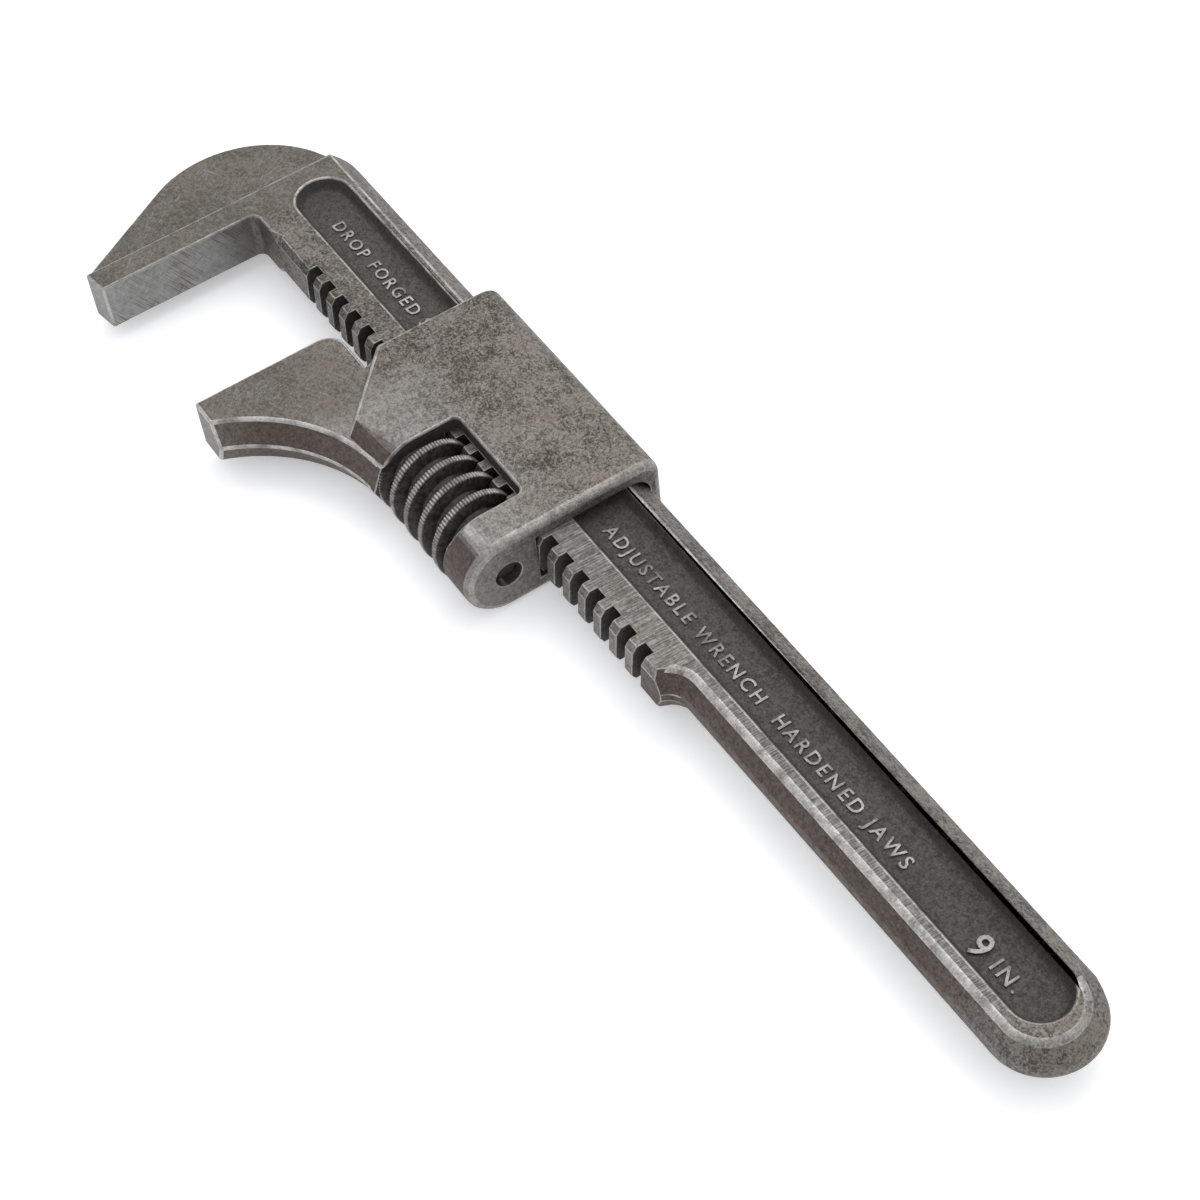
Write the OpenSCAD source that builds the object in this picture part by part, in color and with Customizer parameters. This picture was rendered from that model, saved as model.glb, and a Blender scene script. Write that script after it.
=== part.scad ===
// Adjustable wrench: a bar with a rack and a fixed jaw, and a sliding jaw that a worm moves along it.
// Lengths are millimetres. While it is built, x = 0 is the face of the fixed jaw, y = 0 the back of
// the bar and z = 0 the middle of its thickness. The finished model stands on z = 0 and its x and y
// centre is the origin. +X points to the head and +Y to the tips of the jaws.

/* [Overall] */
// Length from the end of the handle to the nose of the head
overall_l = 228.6; // [190:0.1:275]
// Opening between the two jaw faces as drawn
jaw_gap = 33; // [12:0.5:60]

/* [Bar] */
// Thickness of the bar and of both jaws
bar_t = 9.5; // [7.9:0.1:11.4]
// Width of the bar over the tips of the rack teeth
bar_w = 21.1; // [19:0.1:25.4]
// Leg of the chamfer along both edges of the back
back_chamfer = 3.2; // [1:0.1:3.8]
// Bevel of the rack's edges, across the width
rack_bevel_y = 0.8; // [0.2:0.1:1.2]
// Bevel of the rack's edges, through the thickness
rack_bevel_z = 1.6; // [0.4:0.1:2.4]
// Width of the sunk panel in each flat side
panel_w = 10.2; // [6:0.1:12.2]
// Depth of the sunk panel
panel_depth = 2.3; // [0.6:0.1:3]
// Slope of the panel's wall, as the width it takes
panel_draft = 1; // [0.2:0.1:1.6]
// Height of the panel's middle above the back, at the head
panel_head_y = 9.6; // [8.6:0.1:10.4]
// Height of the panel's middle above the back, at the handle
panel_handle_y = 8.8; // [8:0.1:9.6]
// Distance that the panel's end keeps from the end of the handle
panel_end_gap = 5.4; // [3.5:0.1:12]
// Distance that the panel runs on past the face of the fixed jaw
panel_head_run = 1; // [0:0.1:3]

/* [Rack] */
// Distance from one slot to the next, the same as the lead of the worm
pitch = 4.36; // [3.8:0.01:5.3]
// Number of slots
slot_count = 24; // [14:1:26]
// Distance from the fixed jaw's face to the first slot
first_slot = 19; // [14:0.1:23]
// Width of a slot
slot_w = 2.3; // [2.1:0.05:2.5]
// Lean of the slots, as rise along the bar for each millimetre of thickness
slot_lean = 0.15; // [0.05:0.01:0.2]
// Clearance between the crest of the worm and the bottom of a slot
slot_bottom_gap = 1.2; // [0.4:0.05:1.6]
// Bar left between the last slot and the hollow of the shoulder
shoulder_l = 5.7; // [4:0.1:9]

/* [Fixed jaw] */
// Reach of the fixed jaw beyond the rack, at the back of its tip
jaw_reach = 30.8; // [22:0.1:36]
// Drop of the slanted tip towards the gripping face
tip_slant = 0.8; // [0:0.1:2]
// Reach of the head behind the jaw's face
head_l = 19.5; // [16:0.1:23.5]
// Radius of the round back of the head
nose_r = 19.9; // [18:0.1:21.5]
// Height of the middle of that round above the back of the bar
nose_y = 22.1; // [20.5:0.1:25]
// Width of the full-thickness rib behind the jaw's face
rib_w = 5; // [3:0.1:8]
// Step down from the rib to the web, on each side
web_step = 1.2; // [0.4:0.1:2]
// Radius of the corner between the jaw's face and the bar
root_fillet = 1.5; // [0.5:0.1:2]
// Radius of the head's corner at the back of the bar
head_corner_r = 2.5; // [1:0.1:4]

/* [Handle] */
// Width of the handle where it starts, behind the shoulder
handle_w = 18.6; // [17:0.1:19.5]
// Taper of the handle, in degrees
handle_taper = 0.4; // [0:0.1:0.8]
// Radius of the hollow between shoulder and handle
hollow_r = 3.5; // [2:0.1:5]
// Slope of the handle's edge, across the width
edge_slope_y = 2; // [0.5:0.1:2.4]
// Flat band left in the middle of the handle's edge
edge_band = 1.5; // [0.6:0.1:4]

/* [Sliding jaw] */
// Sliding clearance round the bar
slide_gap = 0.1; // [0.08:0.01:0.3]
// Thickness of the sleeve's flat walls
plate_t = 2.8; // [2.2:0.1:3.6]
// Thickness of the sleeve's back wall
back_wall = 2.2; // [1.6:0.1:3]
// Distance from the jaw's face back to the sleeve
face_lead = 10; // [7:0.1:13]
// Length of the sleeve in front of the worm window
front_l = 21.1; // [18:0.1:25.5]
// Length of the worm window
window_l = 19.8; // [16:0.1:24]
// Length of the boss behind the worm window
rear_l = 7.35; // [5:0.05:9]
// Shortfall of the sliding jaw's tip against the fixed jaw's
tip_short = 0.3; // [0:0.1:1]
// Width of the sliding jaw's tip
tip_w = 7.6; // [6:0.1:9]
// Radius of the hollow back of the sliding jaw
sweep_r = 26.5; // [22:0.1:32]
// Narrowing of the jaw from mid-thickness to its flat sides
sweep_slope = 2; // [0.5:0.1:2.5]
// Gap between the rack and the jaw's lower edge
heel_gap = 2.9; // [1:0.1:3.6]
// Radius of the corner of the jaw's heel
heel_r = 3.5; // [1.5:0.1:5]
// Radius of the sleeve's back edges
sleeve_edge_r = 3.5; // [2.6:0.1:4.2]
// Radius of the inner corners of the worm window
window_corner_r = 1.2; // [0.5:0.1:2]

/* [Worm] */
// Diameter of the worm over its thread
worm_d = 15.9; // [15.5:0.1:19]
// Diameter of the worm's core
core_d = 10.4; // [9:0.1:12.4]
// Width of the thread's flat crest
crest_w = 1.25; // [0.8:0.05:1.4]
// Width of the thread where it meets the core
thread_base_w = 1.9; // [1.4:0.05:2]
// Clearance between the core and the rack's teeth
core_gap = 0.35; // [0.25:0.05:1]
// End clearance of the worm in its window, on each side
worm_end_gap = 0.2; // [0.1:0.05:0.4]

/* [Worm pin] */
// Diameter of the pin
pin_d = 4.8; // [3.6:0.1:5.8]
// Running clearance of the worm on the pin, on the radius
pin_gap = 0.08; // [0.03:0.01:0.1]
// Depth of the pin's blind hole in front of the window
pin_hold = 9; // [5:0.1:11]
// Depth at which the pin's end lies below the rear face
pin_sunk = 1.6; // [0.5:0.1:2.5]
// Chamfer of the pin's ends
pin_chamfer = 0.4; // [0.1:0.1:0.6]

/* [Hidden] */
$fn = 96;
// Overshoot of a cutting body past the face that it cuts
cut = 1;
half_t = bar_t / 2;
// Bar and handle
nose_x = head_l - nose_r;
tip_y = bar_w + jaw_reach;
end_x = head_l - overall_l;
last_slot_x = -first_slot - pitch * (slot_count - 1);
hollow_x = last_slot_x - shoulder_l - hollow_r;
// The round end touches the back and the tapered edge
end_r = (handle_w - (hollow_x - end_x) * sin(handle_taper)) / (1 + cos(handle_taper) - sin(handle_taper));
web_t = bar_t - 2 * web_step;
// Slack between the rib and the web's slanted edge, at the tip
web_tip_w = 0.6;
// Bevels of the rack stop this far from the fixed jaw
bevel_stop = 7;
// Slope at which they run out, in degrees
bevel_run_out = 25;
// Worm and pin
core_r = core_d / 2;
worm_r = worm_d / 2;
pin_r = pin_d / 2;
axis_y = bar_w + core_gap + core_r;
worm_l = window_l - 2 * worm_end_gap;
slot_root_r = worm_r + slot_bottom_gap;
thread_steps = 40;
// Depth to which the thread is sunk in the core, so that the two join
thread_sink = 0.8;
// Sliding jaw, with u measured back from its own face
sleeve_h = half_t + slide_gap + plate_t;
front_u = -face_lead;
window_front_u = front_u - front_l;
window_rear_u = window_front_u - window_l;
rear_u = window_rear_u - rear_l;
jaw_tip_y = tip_y - tip_slant - tip_short;
heel_y = bar_w + heel_gap;
window_y = axis_y - worm_r;
sleeve_back_y = -slide_gap - back_wall;
// The hollow back runs out just above the boss
sweep_y = axis_y + sleeve_h + 1 + sweep_r;
sweep_u = -tip_w - sqrt(pow(sweep_r, 2) - pow(sweep_y - jaw_tip_y, 2));
// The front wall's slanted step leaves the sleeve at the rack and ends beside the jaw's root
step_end_u = front_u - 11.7;
step_end_y = axis_y + 5.7;
step_foot = 1.6;
// Radius of the passage's back corners, which just clears the bar's chamfers
passage_r = back_chamfer + 0.3;
// Middle of the finished model
middle_x = head_l - overall_l / 2;
middle_y = (tip_y + sleeve_back_y) / 2;

// Outline points of a quarter or other arc
function arc(cx, cy, r, from, to, steps = 8) =
    [for (i = [0 : steps]) let (a = from + (to - from) * i / steps) [cx + r * cos(a), cy + r * sin(a)]];

// Extrudes a y-z outline along x
module along_x(from, to) {
    translate([from, 0, 0])
        rotate([90, 0, 90])
            linear_extrude(to - from)
                children();
}

// Both the upper and the lower copy of what lies above the middle of the thickness
module both_sides() {
    children();
    mirror([0, 0, 1]) children();
}

// Plan of the shank, from the middle of the round handle end to the head's rib
module shank_plan() {
    translate([end_x + end_r, 0])
        square([rib_w - end_x - end_r - head_corner_r, bar_w]);
}

// Plan of the rib behind the jaw's face, with the fillet to the bar
module rib_plan() {
    polygon(concat(
        [[-cut, bar_w - cut], [0, bar_w]],
        [[0, tip_y - tip_slant], [rib_w, tip_y]],
        arc(rib_w - head_corner_r, head_corner_r, head_corner_r, 0, -90),
        [[-cut, 0]]
    ));
    difference() {
        translate([-root_fillet, bar_w - cut])
            square([root_fillet + cut, root_fillet + cut]);
        translate([-root_fillet, bar_w + root_fillet])
            circle(root_fillet);
    }
}

// Plan of the thin web: a round back, and the tangent from it to the tip
module web_plan() {
    tip = [rib_w + web_tip_w, tip_y - web_tip_w / 2];
    reach = norm(tip - [nose_x, nose_y]);
    lean = atan2(tip[1] - nose_y, tip[0] - nose_x) - acos(nose_r / reach);
    intersection() {
        union() {
            translate([nose_x, nose_y])
                circle(nose_r);
            polygon([
                [nose_x, nose_y],
                [nose_x + nose_r * cos(lean), nose_y + nose_r * sin(lean)],
                tip,
                [nose_x, tip[1]]
            ]);
        }
        translate([rib_w - cut, 0])
            square([head_l, tip_y]);
    }
}

// Slots of the rack: leaning slabs that end on a round about the worm's axis
module rack_slots() {
    intersection() {
        along_x(last_slot_x - pitch, 0)
            translate([axis_y, 0])
                circle(slot_root_r);
        for (i = [0 : slot_count - 1])
            translate([-first_slot - pitch * i, axis_y, 0])
                rotate([90, 0, 0])
                    linear_extrude(2 * slot_root_r, center = true)
                        slot_section();
    }
}

module slot_section() {
    high = half_t + cut;
    polygon([
        [-slot_w / 2 + slot_lean * (half_t - high), high],
        [slot_w / 2 + slot_lean * (half_t - high), high],
        [slot_w / 2 + slot_lean * (half_t + high), -high],
        [-slot_w / 2 + slot_lean * (half_t + high), -high]
    ]);
}

// What the handle's narrower, sloped edge leaves out of the shank, above its middle
module handle_edge_cut() {
    edge = [
        [handle_w, -cut],
        [handle_w, edge_band / 2],
        [handle_w - edge_slope_y, half_t],
        [handle_w - edge_slope_y, half_t + cut],
        [bar_w + 4 * cut, half_t + cut],
        [bar_w + 4 * cut, -cut]
    ];
    translate([hollow_x, 0, 0])
        rotate([0, 0, handle_taper])
            along_x(end_x - hollow_x - cut, 0)
                polygon(edge);
    translate([hollow_x, handle_w + hollow_r, 0])
        rotate_extrude()
            polygon([
                [0, -cut],
                [hollow_r, -cut],
                [hollow_r, edge_band / 2],
                [hollow_r + edge_slope_y, half_t],
                [hollow_r + edge_slope_y, half_t + cut],
                [0, half_t + cut]
            ]);
}

// Round end of the handle, whose slope runs on into the handle's edge and the back's chamfer
module handle_end() {
    centre_x = end_x + end_r;
    top_r = end_r - (edge_slope_y + back_chamfer * cos(handle_taper)) / (1 + cos(handle_taper));
    hull() {
        translate([centre_x, end_r, 0])
            cylinder(h = edge_band, r = end_r, center = true);
        translate([centre_x, back_chamfer + top_r, 0])
            cylinder(h = bar_t, r = top_r, center = true);
        linear_extrude(2 * (half_t - back_chamfer), center = true)
            polygon([[centre_x, 0], [centre_x + cut, 0], [centre_x, cut]]);
    }
}

// Sunk panel in the upper flat side, round at both ends
module panel() {
    top_r = panel_w / 2;
    floor_r = top_r - panel_draft;
    handle_end = [end_x + panel_end_gap + top_r, panel_handle_y];
    head_end = [panel_head_run - top_r, panel_head_y];
    run = norm(head_end - handle_end);
    floor_z = half_t - panel_depth;
    translate([handle_end[0], handle_end[1], 0])
        rotate([0, 0, atan2(head_end[1] - handle_end[1], head_end[0] - handle_end[0])]) {
            along_x(0, run)
                polygon([[-floor_r, floor_z], [floor_r, floor_z], [top_r, half_t],
                    [top_r, half_t + cut], [-top_r, half_t + cut], [-top_r, half_t]]);
            for (x = [0, run])
                translate([x, 0, floor_z]) {
                    cylinder(h = panel_depth, r1 = floor_r, r2 = top_r);
                    translate([0, 0, panel_depth])
                        cylinder(h = cut, r = top_r);
                }
        }
}

// Bevel along the upper edge of the rack, which runs out towards the fixed jaw
module rack_bevel() {
    outline = [[bar_w - rack_bevel_y, half_t], [bar_w, half_t - rack_bevel_z],
        [bar_w + cut, half_t - rack_bevel_z], [bar_w + cut, half_t + cut],
        [bar_w - rack_bevel_y, half_t + cut]];
    along_x(hollow_x, -bevel_stop)
        polygon(outline);
    translate([-bevel_stop, bar_w - rack_bevel_y, 0])
        rotate([0, 0, bevel_run_out])
            translate([0, rack_bevel_y - bar_w, 0])
                along_x(-cut, 3 * cut)
                    polygon(outline);
}

// Bar, fixed jaw and handle, one forging
module bar() {
    color("dimgray")
        difference() {
            union() {
                linear_extrude(bar_t, center = true) {
                    shank_plan();
                    rib_plan();
                }
                linear_extrude(web_t, center = true)
                    web_plan();
                handle_end();
            }
            both_sides() {
                along_x(end_x - cut, rib_w + cut)
                    polygon([[-cut, half_t - back_chamfer - cut], [back_chamfer + cut, half_t + cut],
                        [-cut, half_t + cut]]);
                rack_bevel();
                handle_edge_cut();
                panel();
            }
            rack_slots();
        }
}

// Section of the sleeve, round at the back and square towards the rack
module sleeve_section(reach) {
    centre_y = sleeve_back_y + sleeve_edge_r;
    centre_z = sleeve_h - sleeve_edge_r;
    for (z = [-centre_z, centre_z])
        translate([centre_y, z])
            circle(sleeve_edge_r);
    translate([sleeve_back_y, -centre_z])
        square([reach - sleeve_back_y, 2 * centre_z]);
    translate([centre_y, -sleeve_h])
        square([reach - centre_y, 2 * sleeve_h]);
}

// Passage for the bar through the sleeve
module passage_section() {
    low = -slide_gap;
    high = bar_w + slide_gap;
    side = half_t + slide_gap;
    for (z = [passage_r - side, side - passage_r])
        translate([low + passage_r, z])
            circle(passage_r);
    translate([low, passage_r - side])
        square([high - low, 2 * (side - passage_r)]);
    translate([low + passage_r, -side])
        square([high - low - passage_r, 2 * side]);
}

// Block that joins the sleeve, the boss and the root of the jaw
module root_block() {
    foot_y = bar_w + step_foot;
    hull() {
        along_x(window_front_u, window_front_u + cut)
            translate([axis_y, 0])
                circle(sleeve_h, $fn = 32);
        linear_extrude(2 * sleeve_h, center = true)
            polygon([[window_front_u, window_y], [front_u, window_y], [front_u, bar_w],
                [step_end_u, step_end_y], [window_front_u, axis_y]]);
        linear_extrude(bar_t, center = true)
            polygon([[front_u, bar_w], [front_u, foot_y], [step_end_u + step_foot, step_end_y],
                [step_end_u, step_end_y + step_foot]]);
        linear_extrude(edge_band, center = true)
            polygon([[step_end_u, step_end_y], [step_end_u - step_foot, axis_y + sleeve_h + 1],
                [window_front_u, axis_y]]);
    }
}

// Jaw plate with its hollow, double-sloped back
module jaw_plate() {
    difference() {
        linear_extrude(bar_t, center = true)
            polygon(concat(
                [[0, jaw_tip_y]],
                arc(-heel_r, heel_y + heel_r, heel_r, 0, -90),
                [[front_u, heel_y], [front_u, window_y], [window_front_u, window_y],
                    [window_front_u, jaw_tip_y]]
            ));
        translate([sweep_u, sweep_y, 0])
            rotate_extrude()
                polygon([[0, -half_t - cut], [sweep_r + sweep_slope, -half_t - cut],
                    [sweep_r + sweep_slope, -half_t], [sweep_r, 0], [sweep_r + sweep_slope, half_t],
                    [sweep_r + sweep_slope, half_t + cut], [0, half_t + cut]]);
    }
}

// Opening for the worm, from the plates out past the boss
module worm_window() {
    reach = axis_y + sleeve_h + 4 * cut;
    linear_extrude(2 * (sleeve_h + cut), center = true) {
        for (u = [window_rear_u + window_corner_r, window_front_u - window_corner_r])
            translate([u, window_y + window_corner_r])
                circle(window_corner_r);
        translate([window_rear_u + window_corner_r, window_y])
            square([window_l - 2 * window_corner_r, reach - window_y]);
        translate([window_rear_u, window_y + window_corner_r])
            square([window_l, reach - window_y - window_corner_r]);
    }
}

// Sliding jaw, one forging: jaw plate, sleeve round the bar and boss for the worm
module sliding_jaw() {
    color("slategray")
        translate([-jaw_gap, 0, 0])
            difference() {
                union() {
                    jaw_plate();
                    root_block();
                    along_x(rear_u, front_u)
                        sleeve_section(bar_w);
                    along_x(rear_u, window_rear_u) {
                        sleeve_section(axis_y);
                        translate([axis_y, 0])
                            circle(sleeve_h);
                    }
                }
                along_x(rear_u - cut, front_u + cut)
                    passage_section();
                worm_window();
                along_x(rear_u - cut, window_front_u + pin_hold)
                    translate([axis_y, 0])
                        circle(pin_r);
            }
}

// Points and faces of the worm's thread, a ridge that climbs towards +X as it turns from +Y to +Z.
// It passes through the middle of a rack slot where it faces the rack.
module thread() {
    mesh_x = -first_slot + slot_lean * half_t;
    worm_rear_x = -jaw_gap + window_rear_u + worm_end_gap;
    start_x = mesh_x - pitch * ceil((mesh_x - worm_rear_x) / pitch + 1.5);
    steps = thread_steps * ceil(worm_l / pitch + 3);
    sunk_w = thread_base_w + (thread_base_w - crest_w) * thread_sink / (worm_r - core_r);
    ridge = [
        [-sunk_w / 2, core_r - thread_sink],
        [sunk_w / 2, core_r - thread_sink],
        [crest_w / 2, worm_r],
        [-crest_w / 2, worm_r]
    ];
    points = [
        for (i = [0 : steps], p = ridge)
            let (turn = 180 + 360 * i / thread_steps)
                [start_x + pitch * i / thread_steps + p[0], p[1] * cos(turn), p[1] * sin(turn)]
    ];
    sides = [
        for (i = [0 : steps - 1], j = [0 : 3], half = [0, 1])
            let (a = 4 * i + j, b = 4 * i + (j + 1) % 4)
                half == 0 ? [b, a, a + 4] : [b, a + 4, b + 4]
    ];
    last = 4 * steps;
    polyhedron(points, concat([[0, 1, 2, 3]], sides, [[last + 3, last + 2, last + 1, last]]));
}

// Worm: a core with a single right-hand thread cut off square at both ends
module worm() {
    rear_x = -jaw_gap + window_rear_u + worm_end_gap;
    color("gray")
        difference() {
            union() {
                intersection() {
                    translate([0, axis_y, 0])
                        thread();
                    along_x(rear_x, rear_x + worm_l)
                        translate([axis_y - 2 * worm_r, -2 * worm_r])
                            square(4 * worm_r);
                }
                along_x(rear_x, rear_x + worm_l)
                    translate([axis_y, 0])
                        circle(core_r);
            }
            along_x(rear_x - cut, rear_x + worm_l + cut)
                translate([axis_y, 0])
                    circle(pin_r + pin_gap);
        }
}

// Pin that carries the worm, held in the sliding jaw
module worm_pin() {
    length = window_front_u + pin_hold - rear_u - pin_sunk;
    color("silver")
        translate([rear_u + pin_sunk - jaw_gap, axis_y, 0])
            rotate([0, 90, 0])
                rotate_extrude()
                    polygon([[0, 0], [pin_r - pin_chamfer, 0], [pin_r, pin_chamfer],
                        [pin_r, length - pin_chamfer], [pin_r - pin_chamfer, length], [0, length]]);
}

translate([-middle_x, -middle_y, worm_r]) {
    bar();
    sliding_jaw();
    worm();
    worm_pin();
}
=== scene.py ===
"""Adjustable wrench of worn forged steel: bar with rack, fixed jaw and handle, sliding jaw, worm and pin."""

import math

import bmesh
import bpy
from mathutils import Matrix, Vector


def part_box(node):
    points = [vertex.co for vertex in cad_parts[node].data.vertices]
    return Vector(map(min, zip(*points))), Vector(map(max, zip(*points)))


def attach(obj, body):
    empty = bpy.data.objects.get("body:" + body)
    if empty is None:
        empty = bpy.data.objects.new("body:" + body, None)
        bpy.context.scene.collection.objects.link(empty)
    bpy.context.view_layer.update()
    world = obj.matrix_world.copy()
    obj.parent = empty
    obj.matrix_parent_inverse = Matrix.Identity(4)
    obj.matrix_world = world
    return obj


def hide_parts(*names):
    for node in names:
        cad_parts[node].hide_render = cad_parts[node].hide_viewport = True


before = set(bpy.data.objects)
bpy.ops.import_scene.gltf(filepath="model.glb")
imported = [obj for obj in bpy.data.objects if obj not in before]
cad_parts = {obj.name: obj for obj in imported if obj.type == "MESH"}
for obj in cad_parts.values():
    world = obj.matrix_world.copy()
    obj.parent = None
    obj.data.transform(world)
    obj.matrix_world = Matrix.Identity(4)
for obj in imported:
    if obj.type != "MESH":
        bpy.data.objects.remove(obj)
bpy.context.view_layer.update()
MM = 0.001

# The CAD's sizes that the looks need, in metres
HEAD_L = 19.5 * MM
BAR_W = 21.1 * MM
RACK_L = 123.7 * MM
PANEL_DEPTH = 2.3 * MM
FACE_LEAD = 10 * MM
FRONT_L = 21.1 * MM
WINDOW_L = 19.8 * MM
FIRST_SLOT = 19 * MM
SLOT_LEAN = 0.15
PITCH = 4.36 * MM
CORE_R = 5.2 * MM
BORE_R = 2.48 * MM
CREST_W = 1.25 * MM
THREAD_BASE_W = 1.9 * MM

# The region painted as the panel, a little wider than the panel itself
PANEL_LOW = 3.3 * MM
PANEL_HIGH = 15.3 * MM
PANEL_MIDDLE = 8.8 * MM
PANEL_END_R = 5.3 * MM

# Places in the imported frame
BAR_LOW, BAR_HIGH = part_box("bar")
JAW_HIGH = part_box("sliding_jaw")[1]
WORM_LOW, WORM_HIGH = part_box("worm")
MID_Z = (BAR_LOW.z + BAR_HIGH.z) / 2
HALF_T = (BAR_HIGH.z - BAR_LOW.z) / 2
BACK_Y = BAR_LOW.y
FACE_X = BAR_HIGH.x - HEAD_L
RACK_Y = BACK_Y + BAR_W
TIP_Y = BAR_HIGH.y
HANDLE_X = BAR_LOW.x
RACK_END_X = FACE_X - RACK_L
PANEL_HEAD_X = FACE_X + 1.3 * MM
PANEL_END_X = HANDLE_X + 10.5 * MM
AXIS_Y = (WORM_LOW.y + WORM_HIGH.y) / 2
AXIS_Z = (WORM_LOW.z + WORM_HIGH.z) / 2
JAW_FACE_X = JAW_HIGH.x
SLEEVE_FRONT_X = JAW_FACE_X - FACE_LEAD
WINDOW_FRONT_X = SLEEVE_FRONT_X - FRONT_L
WINDOW_REAR_X = WINDOW_FRONT_X - WINDOW_L

# Cosine past which a face counts as facing a direction, and how near counts as on a plane
FACING = 0.9
CLOSE = 0.1 * MM
SKIN = 0.05 * MM


# ---------------------------------------------------------------- shader maths

class Wire:
    """A value in a material. Python's operators on it add the Math nodes."""

    def __init__(self, finish, socket):
        self.finish = finish
        self.socket = socket

    def math(self, operation, *others, flip=False):
        terms = [self, *others]
        if flip:
            terms.reverse()
        node = self.finish.node("ShaderNodeMath", {"operation": operation}, dict(enumerate(terms)))
        return Wire(self.finish, node.outputs[0])

    def __add__(self, other): return self.math("ADD", other)
    def __radd__(self, other): return self.math("ADD", other, flip=True)
    def __sub__(self, other): return self.math("SUBTRACT", other)
    def __rsub__(self, other): return self.math("SUBTRACT", other, flip=True)
    def __mul__(self, other): return self.math("MULTIPLY", other)
    def __rmul__(self, other): return self.math("MULTIPLY", other, flip=True)

    def most(self, other): return self.math("MAXIMUM", other)
    def least(self, other): return self.math("MINIMUM", other)

    def step(self, low, high, to_low=0.0, to_high=1.0):
        """Smooth step from to_low at low to to_high at high."""
        values = {"Value": self, "From Min": low, "From Max": high, "To Min": to_low, "To Max": to_high}
        settings = {"interpolation_type": "SMOOTHSTEP"}
        return Wire(self.finish, self.finish.node("ShaderNodeMapRange", settings, values).outputs[0])


class Finish:
    """A procedural material on Object coordinates."""

    def __init__(self, name):
        self.material = bpy.data.materials.new(name)
        self.material.use_nodes = True
        self.nodes = self.material.node_tree.nodes
        self.shader = self.nodes["Principled BSDF"]
        self.place = self.node("ShaderNodeTexCoord").outputs["Object"]

    def node(self, kind, settings=None, values=None):
        node = self.nodes.new(kind)
        for name, value in (settings or {}).items():
            setattr(node, name, value)
        for name, value in (values or {}).items():
            self.set(node.inputs[name], value)
        return node

    def set(self, socket, value):
        if isinstance(value, Wire):
            value = value.socket
        if isinstance(value, bpy.types.NodeSocket):
            self.material.node_tree.links.new(value, socket)
        else:
            socket.default_value = value

    def turned(self, angle=(0, 0, 0), stretch=(1, 1, 1)):
        """Object coordinates whose pattern is stretched along its own axes and then turned."""
        values = {"Vector": self.place, "Rotation": angle, "Scale": stretch}
        return self.node("ShaderNodeMapping", {"vector_type": "TEXTURE"}, values).outputs[0]

    def noise(self, size, detail=3.0, roughness=0.55, place=None, warp=0.0):
        """Noise from 0 to 1 whose blotches are about size metres across."""
        values = {"Vector": place or self.place, "Scale": 1 / size, "Detail": detail,
                  "Roughness": roughness, "Distortion": warp}
        return Wire(self, self.node("ShaderNodeTexNoise", {}, values).outputs["Fac"])

    def cells(self, size, place=None):
        values = {"Vector": place or self.place, "Scale": 1 / size}
        return Wire(self, self.node("ShaderNodeTexVoronoi", {}, values).outputs["Distance"])

    def attribute(self, name):
        return Wire(self, self.node("ShaderNodeAttribute", {"attribute_name": name}).outputs["Fac"])

    def mix(self, share, first, second):
        values = {0: share, 6: first, 7: second}
        return self.node("ShaderNodeMix", {"data_type": "RGBA"}, values).outputs[2]

    def scratches(self, angle, length, width):
        """Thin marks on a flat side that run along X, turned by angle about Z."""
        return self.noise(width, 2.0, 0.5, self.turned((0, 0, angle), (length / width, 1, 1)))

    def face_scratches(self, angle, length, width):
        """Thin marks on a gripping face that run along Y, turned by angle about X."""
        return self.noise(width, 2.0, 0.5, self.turned((angle, 0, 0), (1, length / width, 1)))

    def bump(self, height, depth, under=None):
        values = {"Height": height, "Distance": depth, "Strength": 1.0}
        if under is not None:
            values["Normal"] = under
        return self.node("ShaderNodeBump", {}, values).outputs[0]

    def finish(self, colour, roughness, metallic, normal):
        for name, value in (("Base Color", colour), ("Roughness", roughness), ("Metallic", metallic),
                            ("Normal", normal)):
            self.set(self.shader.inputs[name], value)
        return self.material


def grey(level, warmth=0.0):
    """A steel colour: grey at that level, browner as warmth grows."""
    return (level * (1 + warmth), level, level * (1 - 1.2 * warmth), 1)


# ---------------------------------------------------------------- materials

RUST_DARK = (0.026, 0.0165, 0.0125, 1)
RUST_LIGHT = (0.115, 0.083, 0.068, 1)
# Colours of grime together with painted shade, used in the panel, the rack's slots, the sleeve's passage and
# window and round the pin's bore
GRIME_AND_SHADE_DARK = (0.018, 0.015, 0.013, 1)
GRIME_AND_SHADE_LIGHT = (0.085, 0.075, 0.066, 1)


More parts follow.
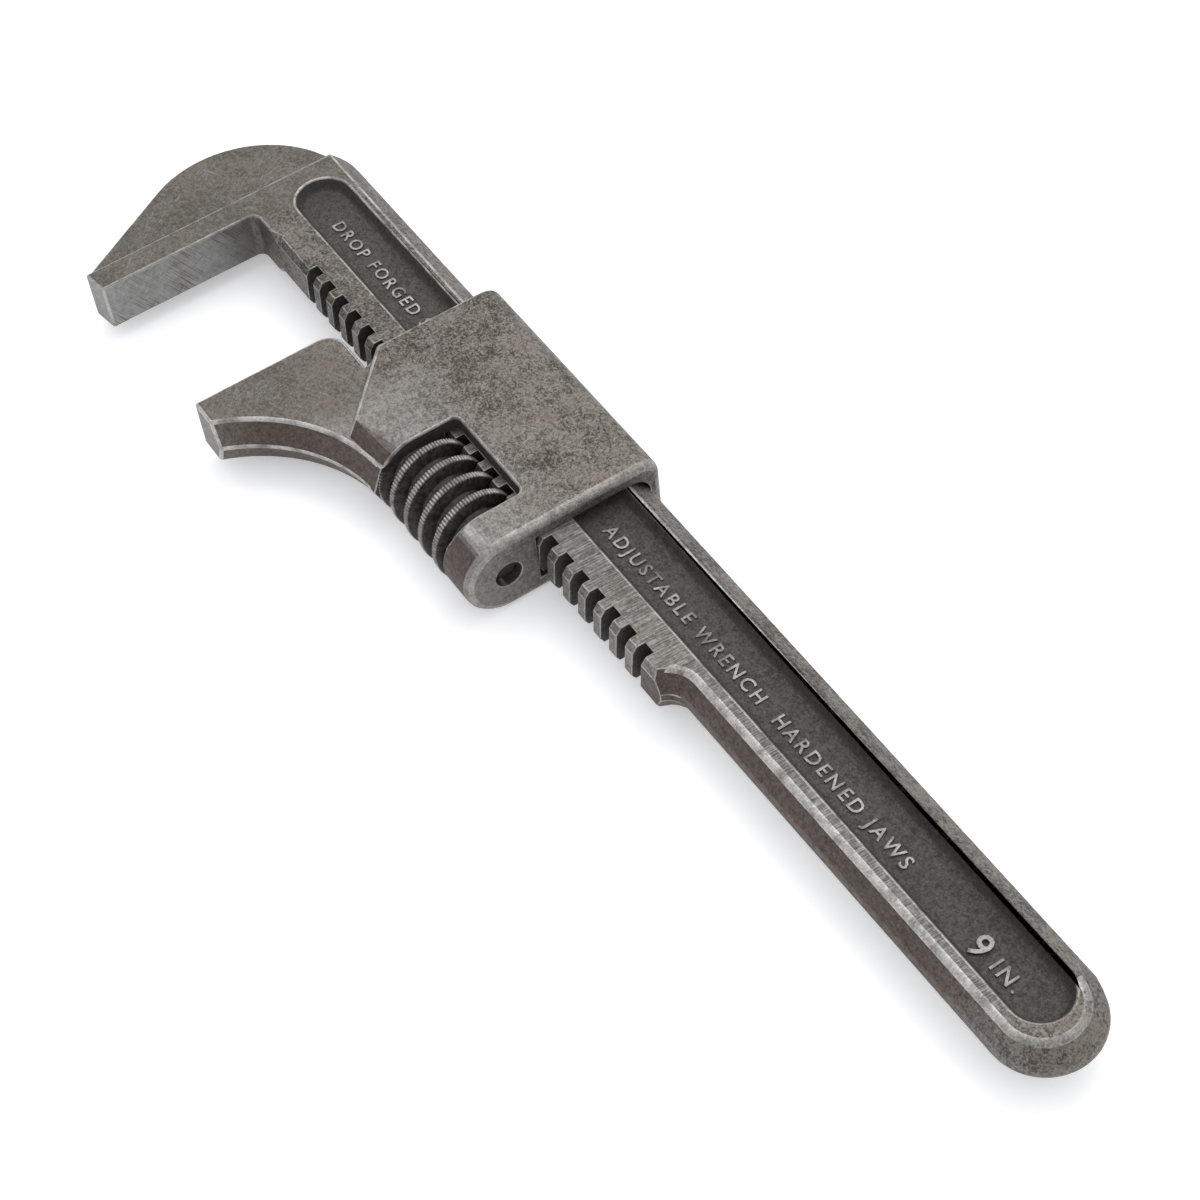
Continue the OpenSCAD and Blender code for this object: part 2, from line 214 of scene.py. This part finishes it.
def forged_steel(name, light, dark, warmth=0.1):
    """Forged steel with an old brown patina: mottled, scratched, bright where hands and nuts rub it,
    darkened by grime and painted shade in recesses, with a painted highlight on the rear boss's corner.
    """
    f = Finish(name)
    # The wear layer marks rubbed edges and a painted highlight on the rear boss; the grime layer marks grime
    # and painted shade in recesses
    wear_and_highlight = f.attribute("wear_and_highlight")
    grime_and_shade = f.attribute("grime_and_shade")
    rust = f.attribute("rust")
    filed = f.attribute("filed")
    ground = f.attribute("ground")
    clouds = f.noise(13 * MM, 3.0, 0.6, warp=0.4).step(0.38, 0.62)
    patches = f.noise(5 * MM, 3.0, 0.6, f.turned((0.5, 0.9, 0.3))).step(0.4, 0.62)
    mottle = f.noise(0.9 * MM, 5.0, 0.72).step(0.26, 0.74)
    grain = f.noise(0.42 * MM, 4.0, 0.8).step(0.3, 0.7)
    pits = f.cells(0.8 * MM, f.turned((0.4, 0.2, 0.7))).step(0.08, 0.24)
    long_marks = f.scratches(0.5, 9 * MM, 0.12 * MM).step(0.6, 0.7)
    cross_marks = f.scratches(-0.75, 5 * MM, 0.11 * MM).step(0.62, 0.72)
    steep_marks = f.scratches(1.9, 7 * MM, 0.12 * MM).step(0.62, 0.72)
    marks = long_marks.most(cross_marks).most(steep_marks) * patches.step(0.1, 0.9)
    file_marks = f.scratches(1.51, 4 * MM, 0.22 * MM).step(0.34, 0.68)
    steep = f.face_scratches(1.0, 7 * MM, 0.24 * MM).step(0.5, 0.64) * (0.3 + 0.7 * patches)
    face_marks = steep.most(f.face_scratches(-0.5, 6 * MM, 0.15 * MM).step(0.6, 0.7))
    spot = f.node("ShaderNodeSeparateXYZ", {}, {0: f.place})
    along = Wire(f, spot.outputs[0])
    across = Wire(f, spot.outputs[1])
    behind = along.step(SLEEVE_FRONT_X - 30 * MM, SLEEVE_FRONT_X, 1.0, 0.1)
    before_end = along.step(HANDLE_X + 5 * MM, HANDLE_X + 16 * MM)
    filed = filed * behind * before_end
    rust = rust * along.step(HANDLE_X + 4 * MM, HANDLE_X + 24 * MM, 0.1, 1.0)

    jaw_plate = across.step(RACK_Y, RACK_Y + 8 * MM) * along.step(WINDOW_FRONT_X, SLEEVE_FRONT_X)
    calm = jaw_plate.most(along.step(FACE_X - 6 * MM, FACE_X)) * 0.5
    tone = (clouds * 0.1 + patches * 0.1 + mottle * 0.3 + grain * 0.5).step(0.22, 0.78)
    tone = tone * (1 - calm) + 0.45 * calm
    body = f.mix(tone, grey(dark, warmth * 2.2), grey(light, warmth * 0.7))
    body = f.mix(clouds * patches * 0.3, body, grey(light * 0.5, warmth * 3))
    held = across.step(RACK_Y - 10 * MM, AXIS_Y + 4 * MM) * (0.4 + 0.6 * mottle) * 0.45
    held = held * along.step(SLEEVE_FRONT_X - 12 * MM, SLEEVE_FRONT_X - 4 * MM, 1.0, 0.0)
    body = f.mix(held, body, grey(light * 1.8, 0.03))
    body = f.mix(marks * 0.35, body, grey(light * 2.2, 0.02))
    filed_tone = f.mix(file_marks * (0.5 + 0.5 * mottle), grey(dark * 2.1, 0.08), grey(light * 1.95, 0.04))
    body = f.mix(filed * 0.55, body, filed_tone)
    ground_tone = f.mix(face_marks * 0.65, grey(light * 1.3, 0.015), grey(dark * 0.9, 0.03))
    root = across.step(RACK_Y + 1 * MM, RACK_Y + 12 * MM, 0.55, 0.0)
    ground_tone = f.mix(root, ground_tone, grey(dark * 1.6, 0.02))
    body = f.mix(ground * (0.65 + 0.35 * mottle), body, ground_tone)
    rust_tone = f.mix(mottle * 0.5 + grain * 0.5, RUST_DARK, RUST_LIGHT)
    body = f.mix(rust * 0.92, body, rust_tone)
    # Towards the dark grime colours where grime and painted shade are marked
    grime_and_shade_tone = f.mix(mottle * 0.5 + grain * 0.5, GRIME_AND_SHADE_DARK, GRIME_AND_SHADE_LIGHT)
    body = f.mix(grime_and_shade, body, grime_and_shade_tone)
    # Lighter where edges are rubbed, and along the painted highlight on the rear boss's corner
    rubbed_and_highlit = wear_and_highlight * (0.45 + 0.3 * grain + 0.25 * file_marks) * f.noise(3 * MM, 3.0).step(0.3, 0.6, 0.3, 1.0)
    rubbed_and_highlit = rubbed_and_highlit * along.step(HANDLE_X + 3 * MM, HANDLE_X + 14 * MM, 0.45, 1.0)
    body = f.mix(rubbed_and_highlit, body, grey(0.6, 0.03))

    rough = (0.5 + 0.14 * (1 - mottle) + 0.14 * grime_and_shade - 0.2 * rubbed_and_highlit - 0.06 * ground).least(0.9).most(0.25)
    metallic = (0.92 - 0.6 * grime_and_shade - 0.35 * rust * (1 - rubbed_and_highlit)).most(0.3)
    height = patches * 0.5 + mottle * 0.35 + grain * 0.25 + pits * 0.3 - 0.45 * marks
    normal = f.bump(height, 0.05 * MM)
    normal = f.bump(file_marks * filed, 0.03 * MM, normal)
    normal = f.bump(face_marks * ground, -0.05 * MM, normal)
    return f.finish(body, rough, metallic, normal)


def worm_steel(name, light, dark):
    """Knurled steel: bright on the worn ribs, brown-black in the thread."""
    f = Finish(name)
    wear_and_highlight = f.attribute("wear_and_highlight")
    mottle = f.noise(0.9 * MM, 4.0, 0.65).step(0.35, 0.65)
    speck = f.noise(0.3 * MM, 3.0, 0.7)
    body = f.mix(mottle * 0.5, grey(dark, 0.15), grey(light, 0.08))
    rubbed_and_highlit = wear_and_highlight * (0.35 + 0.4 * mottle)
    body = f.mix(rubbed_and_highlit, body, grey(0.5, 0.04))
    rough = 0.5 + 0.15 * mottle - 0.22 * rubbed_and_highlit
    metallic = 0.6 + 0.35 * rubbed_and_highlit
    return f.finish(body, rough, metallic, f.bump(speck, 0.03 * MM))


STEEL = forged_steel("forged_steel", 0.225, 0.045)
JAW_STEEL = forged_steel("jaw_steel", 0.235, 0.05)
LETTER_STEEL = forged_steel("letter_steel", 0.2, 0.07, 0.05)
THREAD_STEEL = worm_steel("thread_steel", 0.13, 0.03)
# Darker than the thread's steel: painted shade for the bore, where only the pin's end shows
PIN_IN_PAINTED_SHADE = worm_steel("pin_steel", 0.1, 0.03)


# ---------------------------------------------------------------- mesh helpers

LAYERS = ("wear_and_highlight", "grime_and_shade", "rust", "filed", "ground", "eased")


def add_layers(bm):
    for name in LAYERS:
        bm.faces.layers.float.new(name)


def anywhere(place, normal=None):
    return True


def solid_copy(node):
    """A merged bmesh copy of a CAD node, flat areas joined into single faces."""
    bm = bmesh.new()
    bm.from_mesh(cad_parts[node].data)
    bmesh.ops.remove_doubles(bm, verts=bm.verts, dist=0.004 * MM)
    bmesh.ops.dissolve_degenerate(bm, edges=bm.edges, dist=0.01 * MM)
    bmesh.ops.dissolve_limit(bm, angle_limit=math.radians(0.4), verts=bm.verts, edges=bm.edges)
    add_layers(bm)
    return bm


def paint(bm, name, amount, pick):
    """Sets one face layer to amount where pick(centre, normal) holds."""
    layer = bm.faces.layers.float[name]
    for face in bm.faces:
        if pick(face.calc_center_median(), face.normal):
            face[layer] = amount


def ease(bm, width, segments, pick, sharp=22, wear_and_highlight=1.0, convex=True):
    """Rounds the edges that turn by more than sharp degrees and whose middle pick names."""
    eased = bm.faces.layers.float["eased"]
    chosen = []
    for edge in bm.edges:
        if len(edge.link_faces) != 2 or max(face[eased] for face in edge.link_faces) > 0:
            continue
        turn = edge.calc_face_angle_signed(0)
        bent = turn if convex else -turn
        if bent > math.radians(sharp) and pick((edge.verts[0].co + edge.verts[1].co) / 2):
            chosen.append(edge)
    done = bmesh.ops.bevel(bm, geom=chosen, offset=width, offset_type="OFFSET", segments=segments,
                           profile=0.5, affect="EDGES", clamp_overlap=False, material=-1, loop_slide=True)
    worn = bm.faces.layers.float["wear_and_highlight"]
    for face in done["faces"]:
        face[worn] = wear_and_highlight
        face[eased] = 1.0


def put_in_scene(bm, name):
    """A new object that has the bmesh as its mesh."""
    mesh = bpy.data.meshes.new(name)
    bm.to_mesh(mesh)
    bm.free()
    made = bpy.data.objects.new(name, mesh)
    bpy.context.scene.collection.objects.link(made)
    return made


def piece(bm, name, body, material, replaces=None, smooth=32):
    """Makes a finished piece of a bmesh, shaded smooth except at sharp edges, riding on a body."""
    for face in bm.faces:
        face.smooth = True
    for edge in bm.edges:
        edge.smooth = len(edge.link_faces) == 2 and edge.calc_face_angle(0) < math.radians(smooth)
    made = put_in_scene(bm, name)
    made.data.materials.append(material)
    even = made.modifiers.new("even_shading", "WEIGHTED_NORMAL")
    even.keep_sharp = True
    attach(made, body)
    if replaces:
        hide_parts(replaces)


# ---------------------------------------------------------------- bar

def on_panel_rim(place):
    """Within the panel's outline, which ends in a half circle near the handle's end."""
    from_end = math.hypot(min(0, place.x - PANEL_END_X), place.y - BACK_Y - PANEL_MIDDLE)
    across = BACK_Y + PANEL_LOW < place.y < BACK_Y + PANEL_HIGH
    inside = from_end < PANEL_END_R if place.x < PANEL_END_X else across
    return inside and place.x < PANEL_HEAD_X


def in_panel(place, normal=None):
    return on_panel_rim(place) and abs(place.z - MID_Z) < HALF_T - SKIN


def in_rack_slot(place, normal):
    if place.x < RACK_END_X or place.x > FACE_X - 15 * MM or place.y < BACK_Y + 15 * MM:
        return False
    wall = abs(normal.x) > FACING
    root = place.y < RACK_Y - 1.2 * MM and abs(normal.z) < FACING
    return wall or root


def on_flat_side(place, normal):
    return abs(normal.z) > 0.99 and abs(place.z - MID_Z) > HALF_T - SKIN


def on_handle_slope(place, normal):
    side = place.x < RACK_END_X + 1 * MM and place.y > BACK_Y + 12 * MM
    end = place.x < HANDLE_X + 9 * MM and not in_panel(place)
    return (side or end) and abs(normal.z) < 0.95


def on_handle_crest(place):
    beside = abs(place.z - MID_Z) > HALF_T - 0.3 * MM
    return place.x < RACK_END_X - 0.5 * MM and beside and not on_panel_rim(place)


def on_handle_ridge(place):
    return place.x < RACK_END_X - 4 * MM and abs(place.z - MID_Z) < 1 * MM


def make_bar():
    bm = solid_copy("bar")
    # Grime and painted shade: darkest on the panel's walls, dark on its floor and in the rack's slots
    paint(bm, "grime_and_shade", 0.8, in_panel)
    paint(bm, "grime_and_shade", 1.0, lambda p, n: in_panel(p) and abs(n.z) < 0.95)
    paint(bm, "grime_and_shade", 0.9, in_rack_slot)
    paint(bm, "rust", 1.0, on_handle_slope)
    paint(bm, "filed", 1.0, on_flat_side)
    paint(bm, "ground", 1.0, lambda p, n: n.x < -FACING and abs(p.x - FACE_X) < CLOSE)
    paint(bm, "ground", 0.8, lambda p, n: n.y > FACING and p.y > TIP_Y - 1 * MM)
    ease(bm, 0.8 * MM, 4, on_handle_crest, wear_and_highlight=1.0)
    ease(bm, 0.5 * MM, 3, on_handle_ridge, sharp=15, wear_and_highlight=0.1)
    ease(bm, 0.9 * MM, 4, in_panel, sharp=30, wear_and_highlight=0.0, convex=False)
    ease(bm, 0.28 * MM, 3, on_panel_rim, wear_and_highlight=0.75)
    ease(bm, 0.38 * MM, 3, lambda p: p.x > FACE_X - 6 * MM, wear_and_highlight=0.5)
    ease(bm, 0.14 * MM, 2, anywhere, wear_and_highlight=0.7)
    piece(bm, "forged_bar", "bar", STEEL, "bar")


# ---------------------------------------------------------------- sliding jaw

def make_sliding_jaw():
    bm = solid_copy("sliding_jaw")
    half = HALF_T + 0.2 * MM
    inside = BACK_Y - 0.2 * MM
    # Grime and painted shade in the bar's passage, in the window and round the pin's bore
    paint(bm, "grime_and_shade", 1.0, lambda p, n: inside < p.y < RACK_Y + 0.2 * MM and abs(p.z - MID_Z) < half
          and p.x < SLEEVE_FRONT_X and abs(n.x) < FACING)
    paint(bm, "grime_and_shade", 1.0, lambda p, n: WINDOW_REAR_X - CLOSE < p.x < WINDOW_FRONT_X + CLOSE
          and p.y > RACK_Y - 4 * MM and (abs(n.x) > 0.7 or n.y > 0.5))
    paint(bm, "grime_and_shade", 1.0, lambda p, n: math.hypot(p.y - AXIS_Y, p.z - AXIS_Z) < 2.6 * MM)
    paint(bm, "ground", 1.0, lambda p, n: n.x > FACING and abs(p.x - JAW_FACE_X) < CLOSE)
    paint(bm, "ground", 0.8, lambda p, n: n.y > FACING and p.y > JAW_HIGH.y - 0.5 * MM)
    age_and_highlight_outer_side(bm)
    # A little darker on the rear faces behind the window
    paint(bm, "grime_and_shade", 0.25, lambda p, n: n.x < -FACING and p.x < WINDOW_REAR_X - 6 * MM)
    ease(bm, 1.3 * MM, 4, lambda p: p.x < WINDOW_REAR_X - 6 * MM
         and (abs(p.z - MID_Z) > half or p.y < BACK_Y - 1 * MM or p.y > AXIS_Y + 4 * MM), wear_and_highlight=0.4)
    ease(bm, 0.5 * MM, 3, lambda p: p.x > WINDOW_FRONT_X + 1 * MM and p.y > RACK_Y + 1 * MM, wear_and_highlight=0.9)
    ease(bm, 0.4 * MM, 3, lambda p: abs(p.z - MID_Z) > half or p.y < BACK_Y - 1 * MM, wear_and_highlight=0.6)
    ease(bm, 0.18 * MM, 2, anywhere, wear_and_highlight=0.7)
    piece(bm, "sliding_jaw_forging", "jaw", JAW_STEEL, "sliding_jaw")


def age_and_highlight_outer_side(bm):
    """Browner on the outer side, less so towards the tip, and a painted highlight streak along the rear
    boss's corner.
    """
    wear_and_highlight = bm.faces.layers.float["wear_and_highlight"]
    rust = bm.faces.layers.float["rust"]
    for face in bm.faces:
        centre = face.calc_center_median()
        if centre.y < AXIS_Y or face.normal.x > 0.5 or abs(face.normal.x) > 0.95:
            continue
        turn = math.degrees(math.atan2(abs(centre.z - AXIS_Z), centre.y - AXIS_Y))
        upright = min(1.0, max(0.0, (0.96 - abs(face.normal.z)) / 0.16))
        face[rust] = upright * min(1.0, max(0.4, (JAW_HIGH.y - centre.y) / (6 * MM)))
        # A painted highlight along the rear boss's corner, where a corner would catch the light
        if centre.x < WINDOW_REAR_X + 1 * MM:
            face[wear_and_highlight] = 0.9 * max(0.0, 1 - abs(turn - 68) / 13)


# ---------------------------------------------------------------- worm

RIBS = 84
STEPS_PER_RIB = 4
KNURL_DEPTH = 0.22 * MM


def thread_outline(crest_r):
    """One pitch of the worm's outline, as places along the axis and radii."""
    crest = CREST_W / 2
    base = THREAD_BASE_W / 2
    edge = 0.14 * MM
    foot = 0.25 * MM
    foot_rise = 0.2 * MM
    return [(-base - foot, CORE_R), (-base, CORE_R + foot_rise), (-crest, crest_r - edge),
            (-crest + edge, crest_r), (0, crest_r), (crest - edge, crest_r), (crest, crest_r - edge),
            (base, CORE_R + foot_rise), (base + foot, CORE_R), (PITCH / 2, CORE_R),
            (PITCH - base - foot, CORE_R)]


def wind_thread(bm, crest_r):
    """A core and a right-hand ridge, spun for one turn and copied along, longer than the worm."""
    steps = RIBS * STEPS_PER_RIB
    turns = math.ceil((WORM_HIGH.x - WORM_LOW.x) / PITCH) + 3
    mesh_x = FACE_X - FIRST_SLOT + SLOT_LEAN * HALF_T
    start_x = mesh_x - PITCH * math.ceil((mesh_x - WORM_LOW.x) / PITCH + 1.5)
    profile = [bm.verts.new((start_x + x, AXIS_Y - r, AXIS_Z)) for x, r in thread_outline(crest_r)]
    edges = [bm.edges.new(pair) for pair in zip(profile, profile[1:])]
    bmesh.ops.spin(bm, geom=profile + edges, cent=(0, AXIS_Y, AXIS_Z), axis=(1, 0, 0),
                   dvec=(PITCH / steps, 0, 0), angle=2 * math.pi, steps=steps)
    one_turn = list(bm.verts) + list(bm.edges) + list(bm.faces)
    for turn in range(1, turns):
        copy = bmesh.ops.duplicate(bm, geom=one_turn)["geom"]
        copied = [part for part in copy if isinstance(part, bmesh.types.BMVert)]
        bmesh.ops.translate(bm, verts=copied, vec=(PITCH * turn, 0, 0))
    bmesh.ops.remove_doubles(bm, verts=bm.verts, dist=0.002 * MM)


def knurl(bm, crest_r):
    """Presses the grooves of the knurl into the crest and marks the ribs as rubbed bright."""
    wear_and_highlight = bm.faces.layers.float["wear_and_highlight"]
    for vert in bm.verts:
        y = vert.co.y - AXIS_Y
        z = vert.co.z - AXIS_Z
        radius = math.hypot(y, z)
        if radius > crest_r - 0.2 * MM:
            turn = math.atan2(z, y) * RIBS
            drop = KNURL_DEPTH * (0.5 - 0.5 * math.cos(turn)) ** 1.5
            vert.co.y -= y / radius * drop
            vert.co.z -= z / radius * drop
    for face in bm.faces:
        centre = face.calc_center_median()
        radius = math.hypot(centre.y - AXIS_Y, centre.z - AXIS_Z)
        if radius > crest_r - KNURL_DEPTH:
            face[wear_and_highlight] = min(1.0, (radius - crest_r + KNURL_DEPTH) / (0.16 * MM))


def cut_ends(bm):
    for x, side in ((WORM_LOW.x, -1), (WORM_HIGH.x, 1)):
        geom = list(bm.verts) + list(bm.edges) + list(bm.faces)
        bmesh.ops.bisect_plane(bm, geom=geom, plane_co=(x, 0, 0), plane_no=(side, 0, 0), clear_outer=True)


def bore(bm):
    """Closes both ends round the pin's bore, and joins their rings as its wall."""
    near = 0.001 * MM
    tunnel = Matrix.Translation((0, AXIS_Y, AXIS_Z)) @ Matrix.Rotation(math.pi / 2, 4, "Y")
    rings = []
    for x in (WORM_LOW.x, WORM_HIGH.x):
        outer = [e for e in bm.edges if e.is_boundary and abs(e.verts[0].co.x - x) < near
                 and abs(e.verts[1].co.x - x) < near]
        made = bmesh.ops.create_circle(bm, cap_ends=False, radius=BORE_R, segments=96,
                                       matrix=Matrix.Translation((x, 0, 0)) @ tunnel)
        inner = list({e for v in made["verts"] for e in v.link_edges})
        rings.append(inner)
        bmesh.ops.triangle_fill(bm, use_beauty=True, edges=outer + inner)
    bmesh.ops.bridge_loops(bm, edges=rings[0] + rings[1])


def make_worm():
    crest_r = (WORM_HIGH.z - WORM_LOW.z) / 2
    bm = bmesh.new()
    add_layers(bm)
    wind_thread(bm, crest_r)
    knurl(bm, crest_r)
    cut_ends(bm)
    bore(bm)
    bmesh.ops.recalc_face_normals(bm, faces=bm.faces)
    piece(bm, "knurled_worm", "worm", THREAD_STEEL, "worm", smooth=40)


# ---------------------------------------------------------------- lettering

# Height of a capital in the built-in font, for letters of size 1
CAPITAL = 0.73
LETTER_SPACING = 1.3
# Height of the letters against their width, once raised from the panel's floor
LETTER_RISE = 1.2
# Letters of LETTER_H stand on this line, measured from the bar's back, and others are centred on them
LETTER_LINE = 11.3 * MM
LETTER_H = 2.5 * MM

# The words, their height, where they start from the fixed jaw's face, and the end of their piece's name
WORDS = (
    ("DROP FORGED STEEL", 2.4 * MM, 9 * MM, "word_forged"),
    ("ADJUSTABLE WRENCH  HARDENED JAWS", 2.4 * MM, 94.5 * MM, "word_kind"),
    ("9", 4.2 * MM, 186.5 * MM, "size_number"),
    ("IN.", 2.6 * MM, 191 * MM, "size_unit"),
)


def letter_mesh(words, name):
    curve = bpy.data.curves.new(name, "FONT")
    curve.body = words
    curve.size = 1
    curve.extrude = 0.05
    curve.bevel_depth = 0.018
    curve.bevel_resolution = 1
    curve.space_character = LETTER_SPACING
    curve.resolution_u = 3
    holder = bpy.data.objects.new(name, curve)
    bpy.context.scene.collection.objects.link(holder)
    bpy.context.view_layer.update()
    mesh = bpy.data.meshes.new_from_object(holder.evaluated_get(bpy.context.evaluated_depsgraph_get()))
    bpy.data.objects.remove(holder)
    return mesh


def raise_word(words, height, start_x, top, name):
    """Raised letters on the panel's floor, their tops towards the bar's back.

    The upper side is read from the head to the handle, the lower side from the handle to the head.
    """
    mesh = letter_mesh(words, name)
    xs = [v.co.x for v in mesh.vertices]
    tall = height / CAPITAL
    length = tall * (max(xs) - min(xs))
    floor_z = HALF_T - PANEL_DEPTH
    side = 1 if top else -1
    base_y = BACK_Y + LETTER_LINE + (height - LETTER_H) / 2
    bm = bmesh.new()
    bm.from_mesh(mesh)
    add_layers(bm)
    bmesh.ops.translate(bm, verts=bm.verts, vec=(-min(xs), 0, 0))
    bmesh.ops.scale(bm, verts=bm.verts, vec=(tall, tall, tall * LETTER_RISE))
    corner = (start_x if top else start_x - length, base_y, MID_Z + side * floor_z)
    turn = Matrix.Rotation(math.pi, 4, "Z" if top else "X")
    bmesh.ops.transform(bm, matrix=Matrix.Translation(corner) @ turn, verts=bm.verts)
    bmesh.ops.remove_doubles(bm, verts=bm.verts, dist=0.001 * MM)
    bmesh.ops.recalc_face_normals(bm, faces=bm.faces)
    # Grime and painted shade darken the letters, which stand in the panel's recess
    paint(bm, "grime_and_shade", 0.55, anywhere)
    paint(bm, "wear_and_highlight", 0.75, lambda p, n: n.z * side > 0.5)
    piece(bm, name, "bar", LETTER_STEEL)


def make_lettering():
    """Generic words: what the tool is, how it is made and its size.

    Both sides have them at the same places along X, so on the lower side the unit is read first.
    """
    for top, side in ((True, "upper"), (False, "lower")):
        for words, height, from_face, name in WORDS:
            raise_word(words, height, FACE_X - from_face, top, f"{side}_{name}")


# ---------------------------------------------------------------- studio

def make_floor():
    bm = bmesh.new()
    bmesh.ops.create_grid(bm, x_segments=1, y_segments=1, size=3)
    floor = put_in_scene(bm, "floor")
    f = Finish("floor_white")
    f.shader.inputs["Base Color"].default_value = (0.9, 0.905, 0.92, 1)
    f.shader.inputs["Roughness"].default_value = 0.8
    f.shader.inputs["Specular IOR Level"].default_value = 0.1
    f.shader.inputs["Emission Color"].default_value = (0.98, 0.985, 1, 1)
    f.shader.inputs["Emission Strength"].default_value = 0.3
    floor.data.materials.append(f.material)


def make_light():
    """A light tent, brightest above and beyond the wrench as the camera sees it, and one softbox."""
    world = bpy.data.worlds.new("studio")
    world.use_nodes = True
    bpy.context.scene.world = world
    nodes = world.node_tree.nodes
    links = world.node_tree.links
    place = nodes.new("ShaderNodeTexCoord")
    facing = nodes.new("ShaderNodeVectorMath")
    facing.operation = "DOT_PRODUCT"
    facing.inputs[1].default_value = Vector((0.3, -0.4, 0.85)).normalized()
    ramp = nodes.new("ShaderNodeMapRange")
    ramp.interpolation_type = "SMOOTHSTEP"
    for name, value in (("From Min", -0.7), ("From Max", 0.95), ("To Min", 0.6), ("To Max", 1.15)):
        ramp.inputs[name].default_value = value
    links.new(place.outputs["Generated"], facing.inputs[0])
    links.new(facing.outputs["Value"], ramp.inputs["Value"])
    links.new(ramp.outputs[0], nodes["Background"].inputs["Strength"])
    nodes["Background"].inputs["Color"].default_value = (0.97, 0.985, 1.0, 1)
    light = bpy.data.lights.new("softbox", "AREA")
    light.size = 0.5
    light.energy = 1.2
    lamp = bpy.data.objects.new("softbox", light)
    lamp.location = (0.2, -0.3, 0.6)
    lamp.rotation_euler = lamp.location.to_track_quat("Z", "Y").to_euler()
    bpy.context.scene.collection.objects.link(lamp)


def make_camera():
    """Camera above and beyond the handle's end, on the jaws' side, looking to the head, a little rolled."""
    target = Vector((-12.5 * MM, BACK_Y + 19.8 * MM, 12.7 * MM))
    azimuth = math.radians(152.41)
    elevation = math.radians(51.76)
    roll = math.radians(-7.3)
    distance = 410.9 * MM
    away = Vector((math.cos(azimuth) * math.cos(elevation), math.sin(azimuth) * math.cos(elevation),
                   math.sin(elevation)))
    camera = bpy.data.objects.new("camera", bpy.data.cameras.new("camera"))
    camera.data.lens = 81.07
    camera.data.sensor_width = 36
    camera.data.clip_start = 0.01
    turn = away.to_track_quat("Z", "Y").to_matrix().to_4x4()
    place = Matrix.Translation(target + away * distance)
    camera.matrix_world = place @ turn @ Matrix.Rotation(roll, 4, "Z")
    bpy.context.scene.collection.objects.link(camera)
    bpy.context.scene.camera = camera


make_camera()
make_bar()
make_sliding_jaw()
make_worm()
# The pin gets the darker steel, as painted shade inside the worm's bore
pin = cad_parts["worm_pin"]
pin.data.materials.clear()
pin.data.materials.append(PIN_IN_PAINTED_SHADE)
make_lettering()
make_floor()
make_light()
bpy.context.scene.view_settings.view_transform = "Standard"
